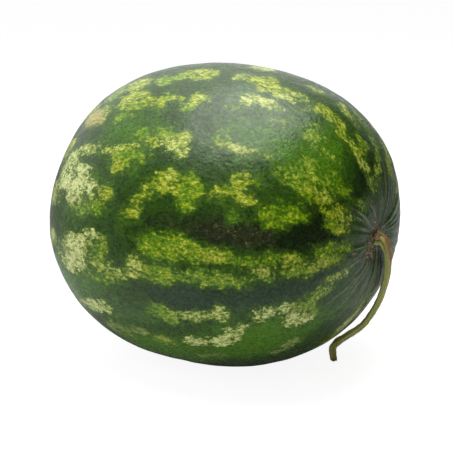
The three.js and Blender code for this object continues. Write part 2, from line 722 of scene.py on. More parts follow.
def front_blotches() -> List[Blotch]:
    """The blotches of the front half, kind by kind, each from the top of the fruit down.

    Returns:
        The blotches.
    """
    yellow = blotches(
        Tint.YELLOW,
        (-8.2, 61.5, 5, 5.5), (-9.2, 44.5, 3.4, 8), (8.7, 92.9, 11, 11), (8, 73.7, 12, 8),
        (6.9, 77.9, 6, 6), (5.9, 53.9, 3.4, 3), (4, 50.9, 3.5, 6.5), (6.5, 44.5, 4.8, 6),
        (10, 41, 3, 8), (8.9, 33.7, 3.8, 7), (17.1, 112.1, 9, 13, 45), (27.3, 108, 7, 11),
        (32.7, 111, 5, 6), (27.3, 87.5, 5.5, 6), (29.1, 92.9, 4, 8), (31.7, 98.9, 4.5, 10),
        (33.3, 102.5, 4, 7), (31.7, 110, 4.5, 6.4), (34.4, 117.8, 5, 6.4), (47.2, 85.3, 6, 4.5),
        (50.5, 91.7, 4, 4.5), (53, 40.5, 3.2, 6), (58.5, 27, 3.2, 7), (58.9, 63.9, 5.8, 5.8),
        (61, 100, 4.5, 6), (66, 61, 3.6, 5.2), (63.9, 85.3, 7.7, 11), (65.6, 68.6, 4, 7),
        (72.2, 91.1, 4.5, 14, -56), (77.2, 92.8, 4.5, 6), (71.1, 101.7, 5.8, 6.4),
        (71, 25, 2.4, 5.5), (89.5, 43.5, 3.2, 4.5), (91.5, 38.5, 3, 7.2), (88, 68.3, 5, 10),
        (62.8, 31, 2.8, 6), (56.5, 35.5, 2.2, 5),
    )
    lime = blotches(
        Tint.LIME,
        (-16.4, 27.7, 3.4, 4), (-2.6, 35, 3.8, 6), (7.5, 68.2, 5.5, 4), (11.7, 97.7, 8, 5),
        (15.9, 101.3, 7, 9, 35), (19.5, 121, 11, 7), (24, 48.8, 5, 6.4), (31, 96.5, 7, 4),
        (32.8, 88.9, 4, 4), (33.9, 104.4, 5.8, 7.7), (40, 106.7, 2.6, 6.4, -25), (44, 30, 2.6, 8),
        (46, 90, 3.2, 7.7), (47.2, 96.7, 4, 5), (47, 43.5, 4, 6), (51, 48.5, 4, 7), (57, 41, 3, 5),
        (56.7, 93.9, 4, 5), (57.2, 98.9, 7, 10), (58.5, 59, 2.4, 3), (62.8, 65, 3.2, 5),
        (66.7, 78.3, 11, 7.7), (67.5, 46, 6, 12), (72, 51, 4.5, 9), (68, 28.5, 3, 5),
        (72.5, 64, 4, 3), (76.7, 107.2, 6, 13), (77.8, 112, 5, 9), (84, 27, 2.6, 8),
        (84.2, 83.3, 4.5, 14), (87.2, 74.4, 7, 13), (87.8, 87.2, 7.7, 7.7), (87.8, 81.7, 7, 11.5),
        (87.5, 64.5, 3.5, 4), (87.5, 31, 3.4, 6), (88.5, 50, 3, 5), (89.5, 57.5, 3, 8),
        (90.6, 101.7, 7.7, 5), (93, 28, 2.8, 5), (95, 38.5, 2.6, 10), (96.1, 85, 5.8, 11.5),
        (98.2, 62.5, 2.4, 7), (101.7, 101, 3.2, 10), (110, 87.2, 4, 6.4), (112.5, 83, 4, 5),
        (112.5, 34, 2.8, 7), (115.5, 41.5, 5, 6), (119, 37.5, 6, 5), (126, 88.5, 5, 9),
    )
    pale = blotches(
        Tint.PALE,
        (-10.4, 50, 5, 5), (-9.4, 82.7, 9.5, 8), (-6.8, 23.5, 2.6, 7, 27), (-4.7, 33.4, 2.2, 3),
        (6.9, 82.7, 6, 5.5), (11, 65.2, 5.5, 7), (6.3, 62.8, 5.5, 7), (11.3, 56.9, 3.3, 2),
        (6.5, 48.2, 2, 3.4), (8.9, 38, 3, 3.4), (11.3, 29.5, 3.8, 8), (20.1, 70, 4, 10),
        (20.7, 65.8, 5, 5.5), (23.1, 74.3, 4, 5), (47.2, 68.9, 2.2, 8), (50.6, 87.8, 4.5, 7.7),
        (51.7, 84.4, 5, 3.2), (53.5, 38.5, 2, 8), (53.9, 99.4, 2.4, 12, -11), (56, 106, 2.2, 4),
        (56.7, 121, 4.5, 19, -15), (62.8, 83.9, 3.5, 6), (63.5, 23.5, 3.2, 4.5),
        (63.3, 126, 4.5, 9), (93.9, 90.6, 7, 7.7), (93.5, 53, 3, 7), (93.5, 33, 2.4, 8),
        (97.2, 92.8, 3.2, 7.7), (97.2, 100, 3.2, 11.5), (107.5, 27, 2.2, 5), (111, 76.7, 4, 7.7),
        (110.6, 71.7, 2, 3), (111, 66.7, 5, 5), (115, 103, 5, 6),
    )
    cream = blotches(
        Tint.CREAM,
        (65.6, 116, 4.5, 13), (68.3, 123.3, 9, 16), (70, 116, 7.7, 16), (71.1, 108.9, 6.4, 6.4),
        (73.9, 115, 6.4, 11.5), (87.2, 103.9, 4.5, 7.7), (90, 109, 5, 7.7), (93.3, 113.3, 9.6, 14),
        (98.3, 116, 6.4, 17), (102, 120.6, 5, 14), (116.7, 110, 5.5, 17, -16), (113, 52, 3.6, 8),
        (114.5, 46, 4.5, 5), (119, 44.5, 3.6, 7, -50), (124.5, 41, 5.5, 5.5), (118.5, 63, 3.4, 7),
        (122.6, 68.9, 6.4, 12), (124, 77.5, 4.5, 9),
    )
    faint = blotches(
        Tint.FAINT,
        (13.7, 20.5, 2, 4), (45, 20.5, 2.4, 5), (77, 130, 5, 8), (98, 125, 7.7, 15),
        (123, 94, 4, 7), (127, 102, 9, 11), (133, 76, 2.5, 6), (138, 52, 5, 10),
    )
    speck = blotches(
        Tint.SPECK,
        (-20, 41, 3, 14), (26.3, 49.4, 2, 2), (24, 50, 8, 11), (43, 42, 9, 16), (50, 46, 9, 16),
        (27.3, 77.3, 4, 4), (28.4, 61, 2.2, 4), (30, 42, 2.4, 7.5), (43.3, 74.4, 5, 5),
        (46, 59, 3, 3), (93.3, 105, 6.4, 9), (95.6, 70.6, 5, 14), (97.2, 64.4, 4, 7.7),
        (96.5, 55, 2.5, 6), (111, 30, 4, 6),
    )
    blush = blotches(Tint.BLUSH, (37.2, 123.9, 8, 13, 28))
    return yellow + lime + pale + cream + faint + speck + blush


def front_shades() -> List[Shade]:
    """The soft changes of green on the front: turn, tip, wide, long, tone, cool and scuff.

    Returns:
        The shades.
    """
    rows = [
        (10, 50, 26, 26, 0.3, -0.4), (24, 38, 26, 24, 0.45, -0.4), (24, 24, 12, 12, -0.5, -0.2),
        (43, 48, 24, 22, 0.6, -0.3), (46, 36, 12, 12, 0.35, -0.3), (66, 32, 15, 14, -1.2, 0.0),
        (74, 38, 8, 14, -0.5, 0.0), (64, 44, 5, 12, -0.5, 0.0), (52, 22, 12, 8, -0.5, 0.0),
        (2, 30, 20, 24, -0.6, 0.0), (112, 28, 24, 16, -0.5, 0.0), (38, 64, 20, 30, 0.5, 0.0),
        (54, 72, 14, 26, 0.15, 0.1), (45, 100, 22, 34, 0.55, -0.1), (62, 96, 12, 14, 0.3, 0.0),
        (66, 108, 10, 14, 0.35, 0.0), (80, 45, 13, 34, -0.6, -0.1),
        (79, 68, 12, 30, -0.55, -0.3, 0.9), (80, 54, 8, 12, 0.1, 0.0, 0.8),
        (79, 86, 11, 16, -0.35, 0.0, 0.3), (80, 118, 14, 26, 0.4, 0.3),
        (87, 100, 12, 14, 0.15, 0.4), (104, 50, 14, 45, -0.35, 0.85),
        (103, 80, 12, 28, -0.35, 0.85), (20, 78, 26, 34, 0.3, 0.0), (102, 108, 16, 26, 0.55, 0.4),
        # The rows round turn 115 to 135 lighten the lower front: partly the rind's own paler green low
        # down, partly painted bounce light from the floor.
        (114, 96, 14, 34, 0.4, 0.5), (118, 58, 16, 40, 0.5, 0.1), (125, 25, 30, 22, 0.5, 0.6),
        (130, 60, 18, 48, 1.05, -0.2), (134, 92, 22, 34, 1.15, -0.1), (116, 124, 26, 26, 0.9, 0.3),
        (20, 120, 24, 30, 0.4, -0.3),
    ]
    names = ("tone", "cool", "scuff")
    return [Shade(*row[:4], **dict(zip(names, row[4:]))) for row in rows]


@dataclass(frozen=True)
class CorkSpot:
    """A rough corky spot at one end of the rind.

    Attributes:
        middle: its place, in millimetres.
        half: its half size along Y and along Z.
        height: how far it stands out.
        depth: how far along X it reaches to each side, which keeps it off the other end.
    """

    middle: Tuple[float, float, float]
    half: Tuple[float, float]
    height: float
    depth: float = 12.0

    def cover(self, points: Array) -> Array:
        """1 inside the spot, falling to 0 at an uneven edge.

        Args:
            points: positions in millimetres.

        Returns:
            One value for each point.
        """
        across = (points[..., 1] - self.middle[1]) / self.half[0]
        up = (points[..., 2] - self.middle[2]) / self.half[1]
        uneven = 0.22 * SoftNoise(5, 31).at(points)
        near = 1 - smooth_step(0.75, 1.15, np.hypot(across, up) + uneven)
        return near * (np.abs(points[..., 0] - self.middle[0]) < self.depth)


@dataclass
class Rind:
    """The whole fruit: an oval barrel with a hollow at each end and a flat spot below.

    The outline along the fruit is a superellipse: the distance along the axis and the radius
    are the cosine and sine of the tip angle, each to the power of two over the fullness. The
    hollow at the blossom end takes blossom_loss off the length, so the half length is the
    frame's extent towards -X plus that. Uncut, the underside would reach as far below the
    floor as flattened says. The pleats start, peak and end at the three distances from the
    axis in pleat_reach.
    """

    stalk_fullness: float = 2.23
    blossom_fullness: float = 2.39
    ovality: float = 0.048
    oval_lean: float = 22.5
    stalk_taper: float = 0.011
    end_rise: float = 1.2
    flattened: float = 2.0
    blossom_loss: float = 0.46
    stalk_hollow: Tuple[float, float] = (6.0, 24.0)
    blossom_hollow: Tuple[float, float] = (1.6, 9.0)
    pleat_depth: float = 0.5
    pleat_reach: Tuple[float, float, float] = (5.0, 22.0, 78.0)
    lump_height: float = 0.45
    lump_size: float = 62.0
    ripple_height: float = 0.12
    ripple_size: float = 15.0
    cork: Tuple[CorkSpot, ...] = (
        CorkSpot((137.2, -16.2, 114.8), (10.0, 10.8), 1.1),
        CorkSpot((136.3, -6.5, 129.0), (7.5, 6.0), 0.8),
        CorkSpot((136.0, -43.0, 117.2), (3.0, 1.6), 0.2),
        CorkSpot((-140.0, 0.0, 120.3), (5.0, 5.0), 0.5),
    )
    rings: int = 232
    sides: int = 414
    seed: int = 4217

    def __post_init__(self) -> None:
        """Works the length, the radius and the height of the middle out from the frame."""
        low, high = (np.array(corner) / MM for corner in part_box("fruit"))
        turn = np.linspace(0, 2 * np.pi, 721)
        oval = self.oval_at(turn)
        self.mean_radius = (high[1] - low[1]) / 2 / np.max(oval * np.sin(turn))
        self.half_length = self.blossom_loss - low[0]
        self.centre_height = high[2] - self.mean_radius * np.max(oval * np.cos(turn))
        tips = np.linspace(0, np.pi, 2001)
        profile = self.base_point(tips, np.full_like(tips, np.pi / 2))
        steps = np.linalg.norm(np.diff(profile, axis=0), axis=1)
        self.tips = tips
        self.run = np.concatenate([[0], np.cumsum(steps)])

    def oval_at(self, turn: Array) -> Array:
        """The cross-section's radius as a share of the mean: 1 - ovality cos 2(turn - lean)."""
        return 1 - self.ovality * np.cos(2 * (turn - math.radians(self.oval_lean)))

    def base_point(self, tip: Array, turn: Array) -> Array:
        """A point of the smooth rind, before pleats and lumps.

        Args:
            tip: angle from the stalk end, in radians.
            turn: angle round the fruit, in radians.

        Returns:
            Positions in millimetres, with x, y, z on the last axis.
        """
        ahead, around = np.cos(tip), np.abs(np.sin(tip))
        power = np.where(ahead > 0, 2 / self.stalk_fullness, 2 / self.blossom_fullness)
        along = np.sign(ahead) * np.abs(ahead) ** power
        taper = 1 - self.stalk_taper * along
        radius = self.mean_radius * around**power * self.oval_at(turn) * taper
        stalk_dip = self.stalk_hollow[0] * np.exp(-((radius / self.stalk_hollow[1]) ** 2))
        blossom_dip = self.blossom_hollow[0] * np.exp(-((radius / self.blossom_hollow[1]) ** 2))
        x = self.half_length * along - np.where(ahead > 0, stalk_dip, -blossom_dip)
        y = -radius * np.sin(turn)
        z = self.centre_height + radius * np.cos(turn) + self.end_rise * along**2
        return np.stack([x, y, z], -1)

    def normal(self, tip: Array, turn: Array) -> Array:
        """The smooth rind's outward direction, from the slopes along and round it.

        Args:
            tip: angle from the stalk end, in radians.
            turn: angle round the fruit, in radians.

        Returns:
            Directions of length 1.
        """
        small = 1e-4
        ahead = self.base_point(tip + small, turn) - self.base_point(tip - small, turn)
        around = self.base_point(tip, turn + small) - self.base_point(tip, turn - small)
        return unit(np.cross(around, ahead))

    def pleats(self, turn: Array) -> Array:
        """Folds round the stalk hollow, about -1 to 1: a sum of seeded waves of the turn.

        Args:
            turn: angle round the fruit, in radians.

        Returns:
            One value for each turn.
        """
        rng = np.random.default_rng(self.seed)
        total = np.zeros_like(turn)
        for waves in (7, 11, 16, 23, 31, 43):
            total += np.sin(waves * turn + rng.uniform(0, 2 * np.pi)) * rng.uniform(0.5, 1)
        return total / 2.2

    def relief(self, tip: Array, turn: Array, points: Array, radius: Array) -> Array:
        """Height over the smooth rind: pleats near the stalk and low lumps all over.

        Args:
            tip: angle from the stalk end, in radians.
            turn: angle round the fruit, in radians.
            points: positions on the smooth rind, in millimetres.
            radius: their distance from the axis.

        Returns:
            Heights in millimetres.
        """
        start, peak, end = self.pleat_reach
        reach = smooth_step(start, peak, radius) * (1 - smooth_step(peak, end, radius))
        folds = self.pleat_depth * reach * self.pleats(turn) * (tip < np.pi / 2)
        lumps = self.lump_height * SoftNoise(self.lump_size, self.seed).at(points)
        ripples = self.ripple_height * SoftNoise(self.ripple_size, self.seed + 1).at(points)
        crust = 0.65 + 0.35 * SoftNoise(3.2, self.seed + 2).at(points)
        for spot in self.cork:
            folds = folds + spot.height * spot.cover(points) * crust
        return folds + lumps * smooth_step(20, 60, radius) + ripples * smooth_step(8, 30, radius)

    def settle(self, points: Array) -> Array:
        """Flattens what would lie below the floor, with a soft edge: (z + sqrt(z^2 + e^2)) / 2.

        Args:
            points: positions in millimetres, changed in place.

        Returns:
            The same positions.
        """
        edge = 0.6
        z = points[..., 2]
        soft = (z + np.sqrt(z**2 + edge**2)) / 2
        lowest = (np.sqrt(self.flattened**2 + edge**2) - self.flattened) / 2
        points[..., 2] = np.where(z < 20, np.maximum(soft - lowest, 0.0), z)
        return points

    def surface(self) -> RingSurface:
        """The fine rind, with closer rings near the stalk, and the fields that colour it.

        Returns:
            The rind as rings from the stalk end to the blossom end.
        """
        share = np.linspace(0, 1, self.rings + 2)
        share = share - 0.42 * np.sin(np.pi * share) ** 2 * (1 - share) ** 2
        tip = np.interp(share * self.run[-1], self.run, self.tips)
        turn = np.linspace(0, 2 * np.pi, self.sides, endpoint=False)
        tips, turns = np.meshgrid(tip, turn, indexing="ij")
        base = self.base_point(tips, turns)
        radius = np.hypot(base[..., 1], base[..., 2] - self.centre_height)
        height = self.relief(tips, turns, base, radius)
        points = self.settle(base + self.normal(tips, turns) * height[..., None])
        points[0] = points[0].mean(axis=0)
        points[-1] = points[-1].mean(axis=0)
        skin = RindPattern(self).fields(tips, turns, base, radius)
        rows = slice(1, self.rings + 1)
        fields = {
            key: np.concatenate([value[rows].reshape(-1, *value.shape[2:]), value[[0, -1], 0]])
            for key, value in skin.items()
        }
        return RingSurface(points[rows], points[0, 0], points[-1, 0], share[rows], fields)

    def build(self, effects: Effects) -> None:
        """Makes the rind and dresses it."""
        dress(self.surface().make("rind"), RindFinish().make(effects), "fruit")


@dataclass
class RindPattern:
    """Where the rind is pale, dark, cool, streaked or corky, as fields over its surface.

    Seeded blotches fill the stripes whose turn lies between the two hidden values, and the
    other stripes past the tip front_end. The front's blotches and shades are fixed lists.
    """

    rind: Rind
    seed: int = 90210
    stripes: int = 16
    hidden: Tuple[float, float] = (146.0, 332.0)
    front_end: float = 130.0

    def hidden_blotches(self) -> List[Blotch]:
        """Seeded blotches for the stripes of the far side and of the blossom end.

        Returns:
            The blotches, stripe by stripe.
        """
        rng = np.random.default_rng(self.seed)
        kinds = (Tint.LIME, Tint.YELLOW, Tint.YELLOW, Tint.PALE, Tint.CREAM, Tint.SPECK)
        made = []
        for stripe in range(self.stripes):
            centre = 8 + stripe * 360 / self.stripes
            far = self.hidden[0] < centre < self.hidden[1]
            tip = 24.0 if far else self.front_end + 4
            while tip < 172:
                size = rng.uniform(0.6, 1.0)
                tint = kinds[int(rng.integers(len(kinds)))]
                wander = rng.normal(0, 2.6)
                narrow = 0.45 + 0.55 * math.sin(math.radians(tip))
                wide = 9.5 * size * narrow
                long = 13 * size * narrow
                made.append(Blotch(centre + wander, tip, wide, long, tint=tint))
                tip += rng.uniform(3.0, 7.5) * (1.0 if rng.random() < 0.8 else 1.9)
        return made

    def near(self, spot: Spot, turns: Array, run: Array, radius: Array) -> Array:
        """How near each point is to a spot: 1 at its middle, 0 at its edge, negative beyond.

        The distance across is the turn times the radius and the distance along is the run
        over the surface, each divided by the spot's half size.

        Args:
            spot: the blotch or shade.
            turns: angle round the fruit at each point, in radians.
            run: distance over the surface from the stalk end, in millimetres.
            radius: distance from the fruit's axis, in millimetres.

        Returns:
            One value for each point.
        """
        middle = np.interp(math.radians(spot.tip), self.rind.tips, self.rind.run)
        away = (np.degrees(turns) - spot.turn + 180) % 360 - 180
        across = np.radians(away) * radius
        ahead = run - middle
        lean = math.radians(spot.lean)
        side = across * math.cos(lean) + ahead * math.sin(lean)
        forward = ahead * math.cos(lean) - across * math.sin(lean)
        return 1 - np.sqrt((side / spot.wide) ** 2 + (forward / spot.long) ** 2)

    def cover(self, turns: Array, run: Array, radius: Array) -> Tuple[Array, Array]:
        """How deep inside a pale blotch each point lies, and what kinds of blotch are near.

        Inside a blotch the depth stops at a value that grows with its kind's solidity, and
        where blotches overlap the greatest depth counts. The other values are the means of
        the kinds' values, weighted by exp(depth / 2 mm).

        Args:
            turns: angle round the fruit at each point, in radians.
            run: distance over the surface from the stalk end, in millimetres.
            radius: distance from the fruit's axis, in millimetres.

        Returns:
            The depth in millimetres, negative outside; and closeness, cream and blush on the
            last axis.
        """
        total = np.full_like(turns, -12.0)
        weights = np.full_like(turns, 1e-9)
        kinds = np.zeros((*turns.shape, 3))
        for blotch in front_blotches() + self.hidden_blotches():
            solid, *kind = blotch.tint.value
            depth = self.near(blotch, turns, run, radius) * min(blotch.wide, blotch.long)
            inside = 5.0 * solid - 2.2
            total = np.maximum(total, np.minimum(depth, inside + 0.12 * np.maximum(depth, 0)))
            weight = np.exp(np.clip(depth, -30, 8) / 2)
            weights += weight
            kinds += weight[..., None] * np.array(kind)
        return total, kinds / weights[..., None]

    def shades(self, turns: Array, run: Array, radius: Array) -> Array:
        """The sums of the shades' tone, coolness and scuff, each fading as exp(-0.9 d^2).

        Args:
            turns: angle round the fruit at each point, in radians.
            run: distance over the surface from the stalk end, in millimetres.
            radius: distance from the fruit's axis, in millimetres.

        Returns:
            Tone, coolness and scuff on the last axis.
        """
        total = np.zeros((*turns.shape, 3))
        for shade in front_shades():
            away = 1 - self.near(shade, turns, run, radius)
            fade = np.exp(-(away**2) * 0.9)
            total += fade[..., None] * np.array([shade.tone, shade.cool, shade.scuff])
        return total

    def wander(self, points: Array, seed: int) -> Array:
        """How far the blotches' outlines stray, in millimetres: three sizes of soft noise.

        Args:
            points: positions in millimetres.
            seed: added to the pattern's own seed.

        Returns:
            One distance for each point.
        """
        sizes = ((34.0, 0.9), (12.0, 1.3), (6.0, 1.0))
        noises = [
            reach * SoftNoise(size, self.seed + seed + step).at(points)
            for step, (size, reach) in enumerate(sizes)
        ]
        return sum(noises)

    def fields(self, tips: Array, turns: Array, points: Array, radius: Array) -> Dict[str, Array]:
        """All the fields that the rind's finish reads.

        Args:
            tips: angle from the stalk end at each vertex, in radians.
            turns: angle round the fruit, in radians.
            points: positions in millimetres.
            radius: distance from the fruit's axis, in millimetres.

        Returns:
            The fields by name.
        """
        run = np.interp(tips, self.rind.tips, self.rind.run)
        sway, drift = self.wander(points, 1), self.wander(points, 5)
        swayed = turns + sway / np.maximum(radius, 40)
        cover, kinds = self.cover(swayed, run + drift, radius)
        shades = self.shades(turns, run, radius)
        tone, cool, scuff = (shades[..., k] for k in range(3))
        degrees = (np.degrees(turns) + 90) % 360 - 90
        tip = np.degrees(tips)
        front = (1 - smooth_step(140, 170, degrees)) * smooth_step(-40, -10, degrees)
        # Paler, creamier blotches towards the blossom end and low on the front.
        creamy = 0.3 * smooth_step(100, 125, tip) + 0.3 * smooth_step(95, 118, degrees) * front
        seen = 1 - front
        tone += 0.3 * seen * SoftNoise(55, self.seed + 3).at(points)
        cool += 0.35 * seen * SoftNoise(70, self.seed + 4).at(points)
        # The waxy streaks of the stalk end reach further from the -Y side down to the bottom.
        reach = 62 + 30 * smooth_step(80, 105, degrees) * (1 - smooth_step(170, 200, degrees))
        around = np.stack([np.cos(turns), np.sin(turns)], -1)
        streak = np.concatenate([around, (run / 400)[..., None]], -1)
        return {
            "cover": cover,
            "lace": kinds[..., 0],
            "cream": np.clip(kinds[..., 1] + creamy, 0, 1),
            "blush": kinds[..., 2],
            "scuff": np.clip(scuff, 0, 1),
            "tone": tone,
            "cool": cool,
            "end": (1 - smooth_step(14, reach, radius)) * (tips < np.pi / 2),
            "cork": np.max([spot.cover(points) for spot in self.rind.cork], axis=0),
            "streak": streak,
        }


@dataclass(frozen=True)
class RindFinish:
    """The waxy, mottled green skin."""

    ground_dark: Color = (0.008, 0.019, 0.003)
    ground: Color = (0.022, 0.062, 0.003)
    ground_light: Color = (0.060, 0.168, 0.002)
    cool_dark: Color = (0.016, 0.048, 0.016)
    cool_light: Color = (0.066, 0.140, 0.034)
    scuffed: Color = (0.030, 0.034, 0.011)
    scratch: Color = (0.150, 0.140, 0.060)
    fringe: Color = (0.060, 0.140, 0.003)
    lime: Color = (0.105, 0.240, 0.002)
    olive: Color = (0.190, 0.275, 0.003)
    yellow: Color = (0.320, 0.375, 0.006)
    pale: Color = (0.560, 0.600, 0.080)
    moss: Color = (0.190, 0.270, 0.055)
    cream: Color = (0.360, 0.430, 0.105)
    pale_cream: Color = (0.650, 0.700, 0.290)
    peach: Color = (0.460, 0.330, 0.100)
    wax: Color = (0.330, 0.370, 0.210)
    lilac: Color = (0.085, 0.105, 0.090)
    bark: Color = (0.360, 0.280, 0.190)
    crack: Color = (0.035, 0.028, 0.012)
    olive_bark: Color = (0.160, 0.140, 0.050)
    roughness: float = 0.33

    def make(self, effects: Effects) -> bpy.types.Material:
        """Builds the material.

        Args:
            effects: the shared node groups.

        Returns:
            The material.
        """
        material, graph, shader = start_material("waxy_rind")
        place = graph.place()
        along = graph.stretch(place, (0.6, 1.0, 1.0))
        mottle = graph.place_group(
            effects.mottle,
            Place=along,
            Cover=graph.value("cover"),
            Closeness=graph.value("lace"),
            Fray=1.2,
            Scale=430.0,
        )
        halo, body, vein, heart, crumb = (
            mottle.outputs[key] for key in ("Halo", "Body", "Vein", "Heart", "Crumb")
        )
        green = self.green(graph, effects, place, crumb)
        creamy = graph.value("cream")
        color = graph.mix(graph.times(halo, 0.7), green, self.fringe)
        warm = graph.mix(graph.step(graph.value("lace"), -0.8, 0.3), self.lime, self.olive)
        color = graph.mix(body, color, graph.mix(creamy, warm, self.moss))
        color = graph.mix(vein, color, graph.mix(creamy, self.yellow, self.cream))
        color = graph.mix(heart, color, graph.mix(creamy, self.pale, self.pale_cream))
        frayed = graph.add(graph.times(halo, 0.25), graph.times(vein, 0.5))
        blush = graph.times(graph.value("blush"), frayed)
        color = graph.mix(blush, color, self.peach)
        color, crust = self.cork(graph, place, color)
        graph.feed(shader.inputs["Base Color"], color)
        dull = graph.step(graph.noise(place, 260.0, 4.0, 0.65), 0.32, 0.68)
        rough = graph.add(self.roughness - 0.1, graph.times(dull, 0.2))
        rough = graph.add(rough, graph.times(graph.value("cork"), 0.35))
        graph.feed(shader.inputs["Roughness"], rough)
        pores = graph.noise(place, 900.0, 3.0, 0.6)
        peel = graph.noise(place, 330.0, 2.0, 0.6)
        relief = graph.add(graph.times(pores, 0.35), graph.times(peel, 1.2))
        relief = graph.add(relief, graph.times(crust, 3.0))
        graph.feed(shader.inputs["Normal"], graph.bump(relief, 0.0003))
        shader.inputs["IOR"].default_value = 1.5
        return material

    def green(self, graph: Graph, effects: Effects, place: Any, crumb: Any) -> Any:
        """The green between the blotches: dark, plain or light by tone, and cool in places.

        Args:
            graph: the material's graph.
            effects: the shared node groups.
            place: object coordinates.
            crumb: the finest grain of the mottling.

        Returns:
            The socket of the colour.
        """
        cloud = graph.noise(place, 45.0, 5.0, 0.6)
        tone = graph.add(graph.value("tone"), graph.centred(cloud, 0.9))
        tone = graph.add(tone, graph.centred(graph.noise(place, 190.0, 3.0, 0.7), 1.2))
        green = graph.mix(graph.step(tone, -0.7, 0.05), self.ground_dark, self.ground)
        green = graph.mix(graph.step(tone, 0.1, 0.8), green, self.ground_light)
        cool_green = graph.mix(graph.step(tone, -0.3, 0.8), self.cool_dark, self.cool_light)
        cool = graph.step(graph.value("cool"), 0.0, 0.9)
        green = graph.mix(cool, green, cool_green)
        scuff = graph.step(graph.add(graph.value("scuff"), graph.centred(cloud, 1.2)), 0.2, 0.9)
        green = graph.mix(graph.times(scuff, 0.65), green, self.scuffed)
        lines = graph.math("MAXIMUM", self.scratches(graph, place, 55), self.scratches(graph, place, 28))
        green = graph.mix(graph.times(scuff, graph.times(lines, 0.6)), green, self.scratch)
        fibres = graph.place_group(
            effects.fibres,
            Stretched=graph.stretch(graph.vector("streak"), (1.0, 1.0, 0.5)),
            Scale=17.0,
        )
        end = graph.value("end")
        film = graph.place_group(
            effects.film,
            Place=place,
            Color=green,
            Tint=self.lilac,
            Amount=graph.times(graph.step(end, 0.6, 1.0), 0.2),
            Scale=90.0,
        )
        ridge = graph.step(fibres.outputs["Ridge"], 0.52, 0.64)
        lines = graph.times(graph.step(end, 0.0, 0.5), ridge)
        green = graph.mix(graph.times(lines, 0.55), film.outputs["Color"], self.wax)
        grain = graph.add(0.6, graph.times(crumb, 0.7))
        return graph.mix(1.0, green, grain, "MULTIPLY")

    def cork(self, graph: Graph, place: Any, color: Any) -> Tuple[Any, Any]:
        """Lays cracked cork over a colour, and gives the height of its crust as well.

        Args:
            graph: the material's graph.
            place: object coordinates.
            color: the colour beneath.

        Returns:
            The sockets of the colour and of the height.
        """
        cork = graph.value("cork")
        edges = graph.cells(place, 360.0, "DISTANCE_TO_EDGE")
        crust = graph.step(graph.add(edges, graph.centred(graph.noise(place, 700.0), 0.2)), 0.0, 0.11)
        bark = graph.mix(crust, self.crack, self.bark)
        bark = graph.mix(graph.step(graph.noise(place, 220.0), 0.45, 0.65), bark, self.olive_bark)
        share = graph.step(graph.add(cork, graph.centred(graph.noise(place, 400.0), 0.9)), 0.3, 0.7)
        return graph.mix(share, color, bark), graph.times(cork, crust)

    def scratches(self, graph: Graph, place: Any, turn: float) -> Any:
        """Thin straight scratches over the -Y side, turned by an angle about the Y axis.

        Args:
            graph: the material's graph.
            place: object coordinates.
            turn: the angle, in degrees.

        Returns:
            The socket of the pattern, 1 on a scratch.
        """
        turned = graph.node("ShaderNodeMapping")
        graph.feed(turned.inputs["Vector"], place)
        turned.inputs["Rotation"].default_value = (0.0, math.radians(turn), 0.0)
        drawn = graph.stretch(turned.outputs["Vector"], (0.07, 1.0, 1.0))
        return graph.step(graph.noise(drawn, 620.0, 2.0, 0.5), 0.62, 0.72)


# ---------------------------------------------------------------- the stalk, its chip and its fibre


